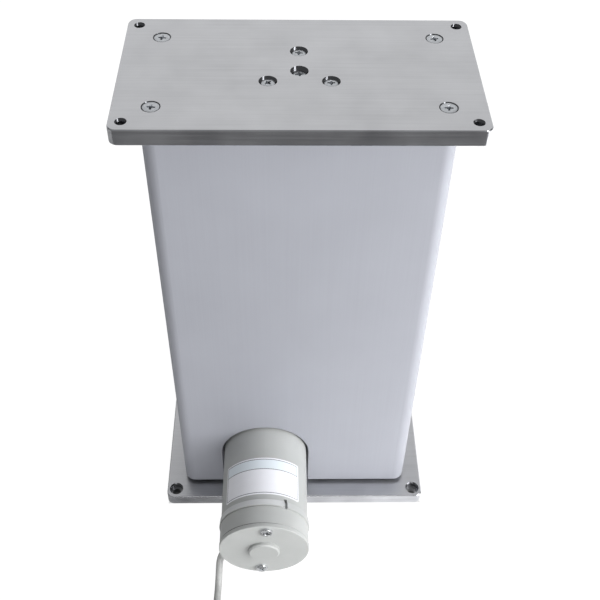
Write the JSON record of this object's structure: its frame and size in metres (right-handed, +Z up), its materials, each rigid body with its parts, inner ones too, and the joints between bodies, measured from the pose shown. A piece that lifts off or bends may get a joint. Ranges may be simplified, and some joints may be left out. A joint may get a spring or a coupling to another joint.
{
  "type": "electric lifting column",
  "caption": "Two-stage electric lifting column: flanged aluminium telescopic tubes with a worm-geared DC motor low on the front and a cable.",
  "frame": {"origin": "on the column axis at the underside of the base plate", "axes": "+Z up along the column, -Y towards the motor, +X to the right seen from the motor side"},
  "size_m": [0.2, 0.2743, 0.36],
  "materials": {
    "plate_aluminium": "milled, fine streaks along its length",
    "tube_anodised": "satin clear anodised extrusion",
    "cast_aluminium": "die cast, unpainted",
    "motor_paint": "light grey semi-gloss paint",
    "zinc_screw": "bright zinc plate",
    "turned_steel": "turned and ground",
    "bearing_steel": "ground ring with pressed shields",
    "spring_steel": "blued spring steel",
    "core_steel": "stacked steel sheet",
    "wheel_bronze": "cut bronze",
    "sintered_bronze": "oil filled sintered bronze",
    "brass_sheet": "pressed sheet",
    "pin_brass": "plated",
    "copper": "enamelled wire and drawn copper",
    "acetal": "natural acetal",
    "ferrite": "sintered ferrite",
    "carbon": "pressed carbon",
    "phenolic_board": "phenolic paper laminate",
    "circuit_board": "solder mask",
    "sensor_black": "moulded",
    "grommet_rubber": "moulded",
    "cable_sheath": "pale grey sheath",
    "black_plastic": "moulded nylon",
    "plug_metal": "nickel plated"
  },
  "bodies": {
    "base": {"base_plate": "plate_aluminium", "inner_tube": "tube_anodised", "gear_housing": "cast_aluminium", "gear_housing_cover": "cast_aluminium", "motor_flange": "cast_aluminium", "base_plate_screws": "zinc_screw", "gear_housing_screws": "zinc_screw", "cover_screws": "zinc_screw", "motor_flange_screws": "zinc_screw", "motor_tie_screws": "zinc_screw", "upper_glides": "acetal", "lower_bearing_outer": "bearing_steel", "upper_bearing_outer": "bearing_steel", "motor_yoke": "motor_paint", "motor_end_cap": "motor_paint", "motor_end_cover": "motor_paint", "motor_front_bush": "sintered_bronze", "motor_rear_bush": "sintered_bronze", "worm_end_bush": "sintered_bronze", "motor_magnets": "ferrite", "brush_card": "phenolic_board", "brush_boxes": "brass_sheet", "carbon_brushes": "carbon", "brush_springs": "spring_steel", "sensor_board": "circuit_board", "limit_sensors": "sensor_black", "cable_grommet": "grommet_rubber", "cable_run": "cable_sheath", "cable_coil": "cable_sheath", "cable_end": "cable_sheath", "coil_tie": "black_plastic", "plug_body": "black_plastic", "plug_shell": "plug_metal", "plug_pins": "pin_brass"},
    "lift": {"top_plate": "plate_aluminium", "outer_tube": "tube_anodised", "top_plate_screws": "zinc_screw", "crown_screws": "zinc_screw", "centre_screw": "zinc_screw", "lower_glides": "acetal", "spindle_nut": "acetal", "push_tube": "turned_steel", "push_tube_plug": "turned_steel", "thrust_collar": "turned_steel", "nut_pins": "turned_steel", "magnet_holder": "black_plastic", "sensor_magnet": "ferrite"},
    "spindle": {"spindle": "turned_steel", "wheel_key": "turned_steel", "spindle_stop_washer": "turned_steel", "worm_wheel": "wheel_bronze", "lower_bearing_inner": "bearing_steel", "upper_bearing_inner": "bearing_steel", "spindle_retainer": "spring_steel", "spindle_stop_screw": "zinc_screw"},
    "rotor": {"motor_shaft": "turned_steel", "worm": "turned_steel", "armature_core": "core_steel", "armature_windings": "copper", "commutator": "copper"}
  },
  "joints": [
    {"name": "motor_spin", "type": "hinge", "parent": "base", "child": "rotor", "pos_m": [-0.0225, 0, 0.05], "axis": [0, -1, 0], "range_deg": [0, 198000]},
    {"name": "spindle_spin", "type": "hinge", "parent": "base", "child": "spindle", "pos_m": [0, 0, 0.05], "axis": [0, 0, -1], "range_deg": [0, 9000]},
    {"name": "lift_slide", "type": "slide", "parent": "base", "child": "lift", "axis": [0, 0, 1], "range_m": [0, 0.2]}
  ],
  "couplings": [
    {"joint": "motor_spin", "follows": "lift_slide", "rad_per_m": 17279},
    {"joint": "spindle_spin", "follows": "lift_slide", "rad_per_m": 785.4}
  ]
}
